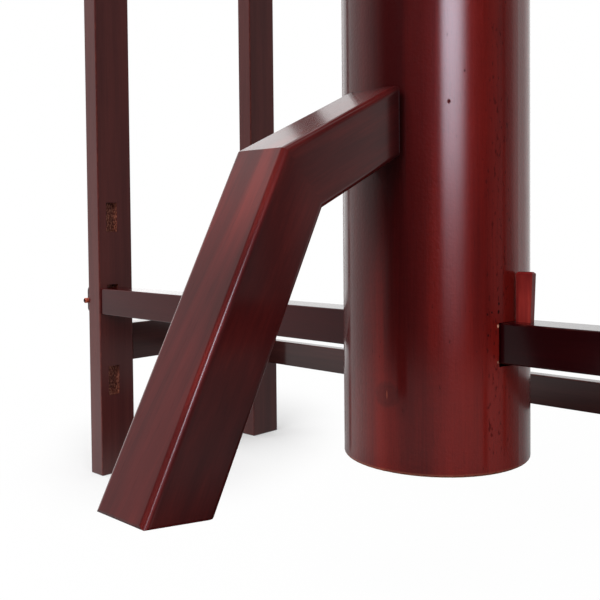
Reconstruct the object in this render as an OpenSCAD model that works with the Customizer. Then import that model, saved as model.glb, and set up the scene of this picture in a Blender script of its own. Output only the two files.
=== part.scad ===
// Wooden training dummy on slats in a free-standing timber frame, in millimetres.
// The origin is on the floor, under the middle of the whole object; the leg and arms point to -Y.

/* [Trunk] */
// Diameter of the round trunk
trunk_d = 220; // [200:1:250]
// Length of the trunk
trunk_len = 1370; // [1250:5:1500]
// Height of the trunk's underside above the floor
trunk_lift = 163; // [130:1:200]
// Rounding of the trunk's end edges
trunk_ease = 2.5; // [1:0.5:12]

/* [Slats] */
// Thickness of a slat, front to back
slat_t = 48; // [42:1:54]
// Height of a slat
slat_h = 45; // [38:1:52]
// Height of the lower slat's underside above the trunk's underside
slat_rise = 120; // [90:1:150]
// Depth of the upper slat's top below the trunk's top
slat_drop = 128; // [100:1:150]
// Distance of the slats' middle in front of the trunk's axis
slat_fore = 6; // [0:1:12]
// Thickness of the tenon at each end of a slat
slat_tenon_t = 22; // [16:1:28]
// Length of slat tenon that stands out of the upright
slat_tenon_out = 28; // [22:1:36]
// Rounding of the slat tenon's end corners
slat_tenon_round = 8; // [3:1:12]
// Space round the slat in the trunk's mortise
slat_space = 3; // [0.5:0.1:5]
// Diameter of the peg across a slat's tenon
slat_peg_d = 9; // [6:0.5:12]
// Length of the peg across a slat's tenon
slat_peg_len = 64; // [40:1:80]

/* [Wedge keys] */
// Width of a key at its top
key_w = 20; // [14:1:28]
// Thickness of a key, front to back
key_t = 8; // [6:0.5:14]
// Height of a key above its slat
key_rise = 55; // [35:1:80]
// Depth of a key inside its slat
key_depth = 30; // [15:1:34]
// Slope of a key's outer edge in degrees
key_slope = 2.4; // [0:0.2:5]
// Travel of the trunk along the slats, each way, before it meets a key
trunk_play = 2; // [1:0.5:5]

/* [Leg] */
// Width of the leg, side to side
leg_w = 69; // [60:1:80]
// Depth of the leg's section
leg_d = 72; // [62:1:82]
// Rounding of the leg's long edges
leg_round = 7; // [3:0.5:12]
// Height of the thigh's centre line at the trunk's axis, above the trunk's underside
leg_rise = 434; // [380:1:500]
// Slope of the thigh below level in degrees
thigh_slope = 24; // [15:0.5:30]
// Length of the thigh's centre line from the trunk's axis to the knee
thigh_len = 287; // [260:1:320]
// Lean of the shin from upright in degrees
shin_lean = 28; // [18:0.5:36]
// Length of the shin's centre line from the knee to the sole
shin_len = 325; // [260:1:360]
// Tilt of the sole from level in degrees
sole_tilt = 8; // [0:0.5:16]
// Rounding of the upright edges of the leg's shoulder
shoulder_round = 5; // [2:0.5:10]
// Rounding of the top and bottom edges of the leg's shoulder
shoulder_ease = 6; // [2:0.5:8]
// Rounding of the front and side edges of the sole
toe_round = 3; // [1:0.5:8]
// Rounding of the rear edge of the sole
heel_round = 13; // [4:0.5:18]
// Side of the leg's square tenon
leg_tenon = 44; // [36:1:50]
// Travel of the leg along its mortise
leg_play = 2; // [1:0.5:6]

/* [Arms] */
// Length of an arm outside the trunk
arm_len = 345; // [280:1:360]
// Diameter of an arm at its shoulder
arm_d = 56; // [50:1:66]
// Diameter of an arm near its tip
arm_tip_d = 38; // [32:1:48]
// Length of the straight stretch next to the shoulder
arm_neck = 40; // [20:1:80]
// Side of an arm's square tenon
arm_tenon = 34; // [28:1:36]
// Depth of the higher upper arm below the trunk's top
arm_drop = 250; // [225:1:280]
// Depth of the middle arm below the trunk's top
middle_arm_drop = 450; // [400:1:500]
// Wood between the crossing tenons of the upper arms
arm_web = 8; // [4:1:16]
// Spread of each upper arm from straight ahead in degrees
arm_angle = 15; // [10:1:20]
// Travel of an arm along its mortise
arm_play = 6; // [2:0.5:12]

/* [Lock pins] */
// Diameter of a lock pin
pin_d = 10; // [7:0.5:14]
// Length of a lock pin past the tenon it crosses
pin_tail = 16; // [8:1:30]
// Diameter of a lock pin's head
pin_head_d = 18; // [15:1:24]
// Height of a lock pin's head
pin_head_h = 11; // [6:1:16]
// Tenon wood behind a lock pin
pin_wood = 24; // [14:1:40]

/* [Frame] */
// Width of the frame over its uprights
frame_w = 1412; // [1200:2:1600]
// Depth of the frame over its uprights
frame_d = 430; // [380:1:520]
// Width of an upright, side to side
upright_w = 35; // [30:1:45]
// Depth of an upright, front to back
upright_d = 68; // [60:1:80]
// Rounding of the long edges of uprights, rails and slats
timber_round = 2; // [1:0.5:4]
// Rounding of the uprights' end edges
upright_ease = 3; // [1:0.5:6]
// Distance of a slat's front face behind the front uprights' faces
slat_set = 3; // [1:0.5:8]
// Rise from one slat mortise of an upright to the next
mortise_step = 143; // [110:1:170]
// Slat mortises in an upright for each slat
mortise_count = 3; // [1:2:3]
// Space over a slat in the mortise of an upright
mortise_head = 6; // [2:1:12]
// Wood above the highest mortise of an upright
upright_head = 86; // [50:1:140]
// Height of a side rail
side_rail_h = 66; // [50:1:80]
// Height of the lower side rails' undersides above the floor
side_rail_z = 197; // [120:1:240]
// Depth of the upper side rails' tops below the uprights' tops
side_rail_drop = 16; // [8:1:60]
// Thickness of a side rail's tenon
rail_tenon_t = 13; // [8:1:18]
// Shoulder above and below a side rail's tenon
rail_shoulder = 9; // [4:1:15]
// Upright wood between a side rail's tenon and the slat mortises
rail_wall = 5; // [3:0.5:10]
// Height of a rear rail
rear_rail_h = 48; // [36:1:70]
// Thickness of a rear rail, let in flush at the uprights' backs
rear_rail_t = 20; // [14:1:26]
// Height of the lower rear rail's underside above the floor
rear_rail_z = 146; // [90:1:220]
// Distance of the upper rear rail's top below the uprights' tops
rear_rail_drop = 120; // [90:1:200]
// Diameter of the pegs through the frame's joints
frame_peg_d = 8; // [5:0.5:10]
// Wood left beyond a frame peg's end
frame_peg_wall = 6; // [3:0.5:12]

/* [Fits] */
// Gap between pieces that slide on each other
run_gap = 0.3; // [0.2:0.05:0.6]
// Gap round a peg or pin in its bore
pin_gap = 0.06; // [0.02:0.01:0.1]
// Gap round a glued tenon in its mortise
glue_gap = 0.15; // [0.05:0.05:0.4]

/* [Hidden] */
$fn = 64;
// Overlap that lets a cut pass its face
past = 1;
// Hair's breadth by which a rounding block stands wider than the timber it trims
hair = 0.02;
// Size of the blocks that trim slanting timbers
block = 900;

trunk_r = trunk_d / 2;
trunk_top = trunk_lift + trunk_len;
slat_low_z = trunk_lift + slat_rise;
slat_high_z = trunk_top - slat_drop - slat_h;
leg_z = trunk_lift + leg_rise;
arm_high_z = trunk_top - arm_drop;
arm_low_z = arm_high_z - arm_tenon - arm_web;
middle_arm_z = trunk_top - middle_arm_drop;

// Places across the frame, measured from its middle
outer_x = frame_w / 2;
inner_x = outer_x - upright_w;
upright_x = outer_x - upright_w / 2;
key_x = trunk_r + trunk_play + run_gap;
slat_peg_x = outer_x + slat_peg_d / 2 + run_gap;
slat_end_x = outer_x + slat_tenon_out;

// Places front to back, measured from the trunk's axis
slat_y = -slat_fore;
front_y = slat_y - slat_t / 2 - slat_set;
rear_y = front_y + frame_d - upright_d;
back_y = front_y + frame_d;
arm_reach = trunk_r + run_gap + arm_len;
// Distance of the trunk's axis behind the middle of the whole object
trunk_y = (arm_reach - back_y) / 2;

// Slat mortises of the front uprights
mortise_w = slat_tenon_t + 2 * glue_gap;
mortise_h = slat_h + mortise_head;
mortise_steps = [for (i = [0 : mortise_count - 1]) (i - (mortise_count - 1) / 2) * mortise_step];
mortise_back_y = slat_y + mortise_w / 2;
upright_h = slat_high_z + mortise_steps[mortise_count - 1] + mortise_h + upright_head;

// Rails
rail_tenon_len = front_y + upright_d - mortise_back_y - rail_wall;
rail_tenon_h = side_rail_h - 2 * rail_shoulder;
side_rail_len = frame_d - 2 * upright_d;
side_rail_zs = [side_rail_z, upright_h - side_rail_drop - side_rail_h];
rear_rail_zs = [rear_rail_z, upright_h - rear_rail_drop - rear_rail_h];
side_peg_len = upright_w - frame_peg_wall;
rear_peg_len = (upright_d + rear_rail_t) / 2;
side_peg_ys = [front_y + upright_d - rail_tenon_len / 2, rear_y + rail_tenon_len / 2];
side_peg_rises = [side_rail_h / 2 - rail_tenon_h / 4, side_rail_h / 2 + rail_tenon_h / 4];
rear_peg_rises = [rear_rail_h / 4, rear_rail_h * 3 / 4];

// Leg, with angles measured below the forward direction
shin_angle = 90 - shin_lean;
mitre_angle = (thigh_slope + shin_angle) / 2;
sole_angle = 90 - sole_tilt;
knee = [0, -thigh_len * cos(thigh_slope), leg_z - thigh_len * sin(thigh_slope)];
sole = [0, knee[1] - shin_len * sin(shin_lean), knee[2] - shin_len * cos(shin_lean)];
leg_shoulder_y = -trunk_r - leg_play - run_gap;
sole_skew = sole_angle - shin_angle;
thigh_reach = thigh_len + leg_d;
shin_reach = shin_len + leg_d;
leg_mortise_half = leg_tenon / 2 + run_gap;
leg_pin_y = trunk_r + run_gap + pin_d / 2;
leg_tail = (leg_pin_y + pin_d / 2 + pin_wood) / cos(thigh_slope);

// Arms, along their own axis from the trunk's axis
arm_pin_at = trunk_r + arm_play + run_gap + pin_head_d / 2;
arm_tail = arm_pin_at + pin_d / 2 + pin_wood;
arm_seat = trunk_r + run_gap;

frame_red = "#6b3434";
slat_red = "#4e1a1e";
trunk_red = "#65161a";
leg_red = "#5f2d2d";
key_red = "#8a2f2c";
peg_red = "#9a4a38";

// Moves shapes drawn round the trunk's axis to the part's origin
module placed() {
    translate([0, trunk_y, 0]) children();
}

// Turns +Z to point forwards and down by an angle
module forward_down(angle) {
    rotate([90 + angle, 0, 0]) children();
}

// Turns +Z to point along an arm that spreads towards +X by an angle
module along_arm(spread) {
    rotate([0, 0, spread]) rotate([90, 0, 0]) children();
}

// Rectangle with round corners, centred
module soft_rect(w, h, r) {
    square([w - 2 * r, h], center = true);
    square([w, h - 2 * r], center = true);
    for (x = [-1, 1], y = [-1, 1])
        translate([x * (w / 2 - r), y * (h / 2 - r)]) circle(r);
}

// Straight timber along X, centred, t front to back and h high
module timber_x(len, t, h) {
    rotate([90, 0, 90]) linear_extrude(len, center = true) soft_rect(t, h, timber_round);
}

// Straight timber along Y, centred, w side to side and h high
module timber_y(len, w, h) {
    rotate([90, 0, 0]) linear_extrude(len, center = true) soft_rect(w, h, timber_round);
}

// Straight timber along Z, standing on its end
module timber_z(len, w, d) {
    linear_extrude(len) soft_rect(w, d, timber_round);
}

// Standing timber with its ends eased too
module upright_timber() {
    intersection() {
        timber_z(upright_h, upright_w, upright_d);
        translate([0, 0, upright_h / 2]) rotate([90, 0, 0])
            linear_extrude(upright_d, center = true) soft_rect(upright_w, upright_h, upright_ease);
        translate([0, 0, upright_h / 2]) rotate([90, 0, 90])
            linear_extrude(upright_w, center = true) soft_rect(upright_d, upright_h, upright_ease);
    }
}

// Round rod along X, centred
module rod_x(d, len) {
    rotate([0, 90, 0]) cylinder(d = d, h = len, center = true);
}

// Round rod along Y, centred
module rod_y(d, len) {
    rotate([90, 0, 0]) cylinder(d = d, h = len, center = true);
}

// Half of a turned outline: a rod with an eased foot and a domed end
module pin_outline(d, len, head_d, head_h) {
    ease = d / 8;
    polygon([
        [0, -len], [d / 2 - ease, -len], [d / 2, -len + ease], [d / 2, 0], [head_d / 2, 0],
        for (a = [0 : 15 : 90]) [head_d / 2 * cos(a), head_h / 2 + head_h / 2 * sin(a)]
    ]);
}

// Lock pin whose head seats at z = 0
module lock_pin(crossed) {
    rotate_extrude() pin_outline(pin_d, crossed + pin_tail, pin_head_d, pin_head_h);
}

module trunk() {
    color(trunk_red) placed() difference() {
        translate([0, 0, trunk_lift]) rotate_extrude($fn = 128) trunk_outline();
        for (z = [slat_low_z, slat_high_z]) slat_mortise(z);
        translate([0, 0, leg_z]) forward_down(thigh_slope)
            cube([leg_mortise_half * 2, leg_mortise_half * 2, block], center = true);
        arm_mortise(arm_high_z, arm_angle);
        arm_mortise(arm_low_z, -arm_angle);
        arm_mortise(middle_arm_z, 0);
    }
}

// Half section of the trunk, with its end edges rounded
module trunk_outline() {
    square([trunk_r - trunk_ease, trunk_len]);
    translate([0, trunk_ease]) square([trunk_r, trunk_len - 2 * trunk_ease]);
    for (z = [trunk_ease, trunk_len - trunk_ease])
        translate([trunk_r - trunk_ease, z]) circle(trunk_ease);
}

// Opening of the trunk that hangs on a slat
module slat_mortise(z) {
    size = [trunk_d + 2 * past, slat_t + 2 * slat_space, slat_h + run_gap + slat_space];
    translate([-size[0] / 2, slat_y - size[1] / 2, z - slat_space]) cube(size);
}

module arm_mortise(z, spread) {
    side = arm_tenon + 2 * run_gap;
    translate([0, 0, z]) along_arm(spread) cube([side, side, trunk_d + 2 * past], center = true);
}

// Leg of two mitred timbers, with a tenon that passes through the trunk
module leg() {
    color(leg_red) placed() difference() {
        union() {
            thigh();
            shin();
            leg_tenon_bar();
        }
        translate([0, leg_pin_y, leg_z + leg_pin_y * tan(thigh_slope)]) rod_x(pin_d + 2 * pin_gap, leg_w);
    }
}

module leg_bar(len) {
    linear_extrude(len) soft_rect(leg_w, leg_d, leg_round);
}

// Thigh from its upright shoulder, whose edges are all rounded, to the mitre at the knee
module thigh() {
    end_y = leg_shoulder_y + hair;
    difference() {
        intersection() {
            translate([0, 0, leg_z]) forward_down(thigh_slope) leg_bar(thigh_reach);
            translate([0, leg_shoulder_y - thigh_reach / 2, 0])
                linear_extrude(2 * leg_z) soft_rect(leg_w + hair, thigh_reach, shoulder_round);
            translate([0, end_y, leg_z + end_y * tan(thigh_slope)]) forward_down(180) rotate([90, 0, 90])
                linear_extrude(block, center = true)
                    skew_end(-thigh_slope, shoulder_ease, shoulder_ease, thigh_reach);
        }
        translate(knee) forward_down(mitre_angle) translate([-block / 2, -block / 2, 0]) cube(block);
    }
}

// Shin from the mitre at the knee to the sole, whose edges are all rounded
module shin() {
    difference() {
        intersection() {
            translate(knee) forward_down(shin_angle) translate([0, 0, -leg_d])
                leg_bar(shin_len + 2 * leg_d);
            translate(sole) forward_down(sole_angle) {
                intersection() {
                    rotate([90, 0, 90]) linear_extrude(block, center = true)
                        skew_end(sole_skew, toe_round, heel_round, shin_reach);
                    rotate([90, 0, 0]) linear_extrude(block, center = true) sole_front();
                }
            }
        }
        translate(knee) forward_down(mitre_angle) translate([-block / 2, -block / 2, -block]) cube(block);
    }
}

// Leg timber's end seen from the side, cut along y = 0 at a skew to the timber, with an arc at each corner
module skew_end(skew, front_r, rear_r, reach) {
    half = (leg_d + hair) / 2 / cos(skew);
    front = half - front_r * (1 + sin(skew)) / cos(skew);
    rear = -half + rear_r * (1 - sin(skew)) / cos(skew);
    lean = reach * tan(skew);
    polygon([
        [half - lean, -reach],
        [front + front_r * cos(skew), -front_r - front_r * sin(skew)],
        [front, 0],
        [rear, 0],
        [rear - rear_r * cos(skew), rear_r * sin(skew) - rear_r],
        [-half - lean, -reach]
    ]);
    translate([front, -front_r]) circle(front_r);
    translate([rear, -rear_r]) circle(rear_r);
}

// Shin's end seen from the front
module sole_front() {
    translate([0, -shin_reach / 2]) soft_rect(leg_w + hair, shin_reach, toe_round);
}

module leg_tenon_bar() {
    root = -leg_shoulder_y / cos(thigh_slope) + leg_d / 2;
    translate([0, 0, leg_z]) forward_down(thigh_slope)
        translate([-leg_tenon / 2, -leg_tenon / 2, -leg_tail])
            cube([leg_tenon, leg_tenon, leg_tail + root]);
}

// Peg across the leg's tenon, behind the trunk
module leg_pin() {
    color(peg_red) placed() translate([0, leg_pin_y, leg_z + leg_pin_y * tan(thigh_slope)])
        rotate([0, 0, 90]) peg(pin_d, leg_tenon + 2 * pin_tail);
}

// Turned arm with a square tenon that passes through the trunk
module arm(z, spread) {
    color(leg_red) placed() translate([0, 0, z]) along_arm(spread) difference() {
        union() {
            translate([0, 0, arm_seat]) rotate_extrude() arm_outline();
            translate([-arm_tenon / 2, -arm_tenon / 2, -arm_tail])
                cube([arm_tenon, arm_tenon, arm_tail + arm_seat + arm_neck]);
        }
        translate([0, 0, -arm_pin_at]) rod_y(pin_d + 2 * pin_gap, arm_tenon + 2 * past);
    }
}

// Half outline of an arm: eased shoulder, straight neck, long taper and a domed tip
module arm_outline() {
    ease = arm_d / 16;
    tip_r = arm_tip_d / 2;
    polygon([
        [0, 0], [arm_d / 2 - ease, 0], [arm_d / 2, ease], [arm_d / 2, arm_neck],
        for (a = [0 : 9 : 90]) [tip_r * cos(a), arm_len - tip_r + tip_r * sin(a)]
    ]);
}

module arm_pin(z, spread) {
    color(peg_red) placed() translate([0, 0, z]) along_arm(spread)
        translate([0, arm_tenon / 2 + run_gap, -arm_pin_at]) rotate([-90, 0, 0])
            lock_pin(arm_tenon + run_gap);
}

// Slat with a tenon at each end, peg bores and a blind slot for each key
module slat(z) {
    color(slat_red) placed() translate([0, slat_y, z]) difference() {
        union() {
            translate([0, 0, slat_h / 2]) timber_x(2 * inner_x, slat_t, slat_h);
            for (side = [-1, 1]) translate([side * inner_x, 0, 0]) slat_tenon(side);
        }
        for (side = [-1, 1]) {
            translate([side * slat_peg_x, 0, slat_h / 2]) rod_y(slat_peg_d + 2 * pin_gap, slat_t);
            translate([side * key_x, 0, slat_h]) key_shape(side, run_gap, past);
        }
    }
}

// Tenon that passes through an upright, with rounded end corners
module slat_tenon(side) {
    len = slat_end_x - inner_x;
    r = slat_tenon_round;
    translate([0, slat_tenon_t / 2, 0]) rotate([90, 0, 0]) linear_extrude(slat_tenon_t) {
        translate([side > 0 ? -past : r - len, 0]) square([len + past - r, slat_h]);
        translate([side > 0 ? 0 : -len, r]) square([len, slat_h - 2 * r]);
        for (y = [r, slat_h - r]) translate([side * (len - r), y]) circle(r);
    }
}

// Wedge key standing on z = 0, with its upright edge towards the trunk; gap widens it for its slot
module key_shape(side, gap, rise) {
    foot = key_w - (key_rise + key_depth) * tan(key_slope);
    top = foot + (rise + key_depth) * tan(key_slope);
    translate([0, key_t / 2 + gap, 0]) rotate([90, 0, 0]) linear_extrude(key_t + 2 * gap)
        polygon([
            [-side * gap, -key_depth - gap], [side * (foot + gap), -key_depth - gap],
            [side * (top + gap), rise], [-side * gap, rise]
        ]);
}

// Key with its top edges chamfered
module key(z, side) {
    ease = key_t / 4;
    cut = ease * sqrt(2);
    color(key_red) placed() translate([side * key_x, slat_y, z + slat_h]) difference() {
        key_shape(side, 0, key_rise);
        for (x = [0, side * key_w])
            translate([x, 0, key_rise]) rotate([0, 45, 0]) cube([cut, 2 * key_t, cut], center = true);
        for (y = [-key_t / 2, key_t / 2])
            translate([0, y, key_rise]) rotate([45, 0, 0]) cube([4 * key_w, cut, cut], center = true);
    }
}

// Plain peg along Y, centred, with eased ends
module peg(d, len) {
    ease = d / 8;
    rod_y(d, len - 2 * ease);
    for (end = [-1, 1])
        translate([0, end * (len / 2 - ease), 0]) rotate([-90 * end, 0, 0])
            cylinder(d1 = d, d2 = d - 2 * ease, h = ease);
}

module slat_peg(z, side) {
    color(peg_red) placed() translate([side * slat_peg_x, slat_y, z + slat_h / 2])
        peg(slat_peg_d, slat_peg_len);
}

// Front upright with its rows of slat mortises
module front_upright(side) {
    color(frame_red) placed() difference() {
        translate([side * upright_x, front_y + upright_d / 2, 0]) upright_timber();
        for (z = [slat_low_z, slat_high_z], step = mortise_steps)
            translate([side * upright_x - upright_w, slat_y - mortise_w / 2, z + step])
                cube([2 * upright_w, mortise_w, mortise_h]);
        side_rail_pockets(side, front_y + upright_d, -1);
        side_peg_holes(side, side_peg_ys[0]);
    }
}

module rear_upright(side) {
    color(frame_red) placed() difference() {
        translate([side * upright_x, rear_y + upright_d / 2, 0]) upright_timber();
        for (z = rear_rail_zs)
            translate([side * upright_x - upright_w, back_y - rear_rail_t, z])
                cube([2 * upright_w, upright_d, rear_rail_h]);
        side_rail_pockets(side, rear_y, 1);
        side_peg_holes(side, side_peg_ys[1]);
        rear_peg_rods(side, pin_gap);
    }
}

// Blind mortises for the side rails in the face at y, going in along the given direction
module side_rail_pockets(side, y, into) {
    w = rail_tenon_t + 2 * glue_gap;
    deep = rail_tenon_len + glue_gap;
    for (z = side_rail_zs)
        translate([side * upright_x - w / 2, into > 0 ? y - past : y - deep, z + rail_shoulder - glue_gap])
            cube([w, deep + past, rail_tenon_h + 2 * glue_gap]);
}

// Peg holes from an upright's outer face through the side rails' tenons
module side_peg_holes(side, y) {
    for (z = side_rail_zs, rise = side_peg_rises)
        translate([side * (outer_x - side_peg_len / 2), y, z + rise])
            rod_x(frame_peg_d + 2 * pin_gap, side_peg_len);
}

module side_rail(side, z) {
    y = front_y + frame_d / 2;
    color(frame_red) placed() difference() {
        translate([side * upright_x, y, z + side_rail_h / 2]) union() {
            timber_y(side_rail_len, upright_w, side_rail_h);
            cube([rail_tenon_t, side_rail_len + 2 * rail_tenon_len, rail_tenon_h], center = true);
        }
        for (peg_y = side_peg_ys, rise = side_peg_rises)
            translate([side * upright_x, peg_y, z + rise]) rod_x(frame_peg_d + 2 * pin_gap, upright_w);
    }
}

module rear_rail(z) {
    color(frame_red) placed() difference() {
        translate([0, back_y - rear_rail_t / 2, z + rear_rail_h / 2])
            timber_x(frame_w, rear_rail_t, rear_rail_h);
        for (side = [-1, 1]) rear_peg_rods(side, pin_gap);
    }
}

module side_rail_pegs(side) {
    color(peg_red) placed() for (y = side_peg_ys, z = side_rail_zs, rise = side_peg_rises)
        translate([side * (outer_x - side_peg_len / 2), y, z + rise]) rod_x(frame_peg_d, side_peg_len);
}

// Rods from the rear rails' backs into the rear uprights, grown by a gap where they cut a bore
module rear_peg_rods(side, gap) {
    for (z = rear_rail_zs, rise = rear_peg_rises)
        translate([side * upright_x, back_y - rear_peg_len / 2, z + rise])
            rod_y(frame_peg_d + 2 * gap, rear_peg_len);
}

module rear_rail_pegs() {
    color(peg_red) placed() for (side = [-1, 1]) rear_peg_rods(side, 0);
}

trunk();
leg();
leg_pin();
arm(arm_high_z, arm_angle);  // upper_arm_right
arm(arm_low_z, -arm_angle);  // upper_arm_left
arm(middle_arm_z, 0);  // middle_arm
arm_pin(arm_high_z, arm_angle);  // upper_arm_pin_right
arm_pin(arm_low_z, -arm_angle);  // upper_arm_pin_left
arm_pin(middle_arm_z, 0);  // middle_arm_pin
slat(slat_low_z);  // lower_slat
slat(slat_high_z);  // upper_slat
key(slat_low_z, 1);  // lower_key_right
key(slat_low_z, -1);  // lower_key_left
key(slat_high_z, 1);  // upper_key_right
key(slat_high_z, -1);  // upper_key_left
slat_peg(slat_low_z, 1);  // lower_slat_peg_right
slat_peg(slat_low_z, -1);  // lower_slat_peg_left
slat_peg(slat_high_z, 1);  // upper_slat_peg_right
slat_peg(slat_high_z, -1);  // upper_slat_peg_left
front_upright(1);  // front_upright_right
front_upright(-1);  // front_upright_left
rear_upright(1);  // rear_upright_right
rear_upright(-1);  // rear_upright_left
side_rail(1, side_rail_zs[0]);  // lower_side_rail_right
side_rail(-1, side_rail_zs[0]);  // lower_side_rail_left
side_rail(1, side_rail_zs[1]);  // upper_side_rail_right
side_rail(-1, side_rail_zs[1]);  // upper_side_rail_left
rear_rail(rear_rail_zs[0]);  // lower_rear_rail
rear_rail(rear_rail_zs[1]);  // upper_rear_rail
side_rail_pegs(1);  // side_rail_pegs_right
side_rail_pegs(-1);  // side_rail_pegs_left
rear_rail_pegs();
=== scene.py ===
"""Wooden training dummy on its stand, dressed in dark red stain under gloss lacquer.

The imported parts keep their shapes. Each gets a stained-wood material whose grain runs along
its own timber, and the spare mortises get rough chopped walls.
"""

import logging
import math
from dataclasses import dataclass
from enum import Enum

import bpy
import numpy as np
from mathutils import Matrix, Vector


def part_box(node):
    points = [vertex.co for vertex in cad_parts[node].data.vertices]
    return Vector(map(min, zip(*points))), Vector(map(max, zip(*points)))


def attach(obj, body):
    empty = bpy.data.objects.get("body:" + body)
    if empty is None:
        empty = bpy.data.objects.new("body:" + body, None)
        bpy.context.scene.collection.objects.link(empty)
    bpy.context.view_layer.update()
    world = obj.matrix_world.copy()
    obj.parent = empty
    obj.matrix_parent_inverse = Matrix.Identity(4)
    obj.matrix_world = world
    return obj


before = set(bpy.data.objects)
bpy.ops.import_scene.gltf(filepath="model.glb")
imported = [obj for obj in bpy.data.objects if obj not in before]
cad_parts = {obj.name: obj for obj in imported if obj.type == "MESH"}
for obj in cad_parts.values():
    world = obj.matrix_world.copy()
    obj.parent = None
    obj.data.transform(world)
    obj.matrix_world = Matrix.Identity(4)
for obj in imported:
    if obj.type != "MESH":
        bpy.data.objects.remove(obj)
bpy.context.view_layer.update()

log = logging.getLogger("training_dummy")

Pair = tuple[float, float]
Triple = tuple[float, float, float]
Four = tuple[float, float, float, float]
Rows = tuple[Pair, ...]
Shade = tuple[int, int, int]
Material = bpy.types.Material
Node = bpy.types.Node
Socket = bpy.types.NodeSocket
Value = float | Socket


def grey(light: float) -> Four:
    """Gives the grey of a brightness, with an alpha of 1."""
    return (light, light, light, 1.0)


def stain(shade: Shade) -> Four:
    """Turns a swatch's colour into scene-linear light by the usual display curve.

    Args:
        shade: Red, green and blue from 0 to 255.

    Returns:
        Linear red, green and blue with an alpha of 1.
    """
    swatch = np.array(shade) / 255.0
    linear = np.where(swatch <= 0.04045, swatch / 12.92, ((swatch + 0.055) / 1.055) ** 2.4)
    return (*linear.tolist(), 1.0)


class Run(Enum):
    """Directions in which the timbers' grain runs."""

    ACROSS = (1.0, 0.0, 0.0)
    DEEP = (0.0, 1.0, 0.0)
    UPRIGHT = (0.0, 0.0, 1.0)


@dataclass(frozen=True)
class WoodFinish:
    """A stain, its grain and the lacquer over it; lengths are in metres."""

    dark: Shade
    middle: Shade
    light: Shade
    streak: float = 0.012
    streak_run: float = 30.0
    contrast: float = 0.5
    fibre: float = 0.0022
    fibre_gain: float = 0.3
    pore: float = 0.0011
    pore_depth: float = 0.15
    rough: float = 0.42
    lustre: float = 0.06
    coat: float = 1.0
    coat_rough: float = 0.08
    coat_ior: float = 1.5
    bump: float = 0.12
    peel: float = 0.0
    peel_size: float = 0.003
    clouds: Triple = (0.06, 5.0, 0.3)
    ring: float = 0.003
    worn: float = 0.15


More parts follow.
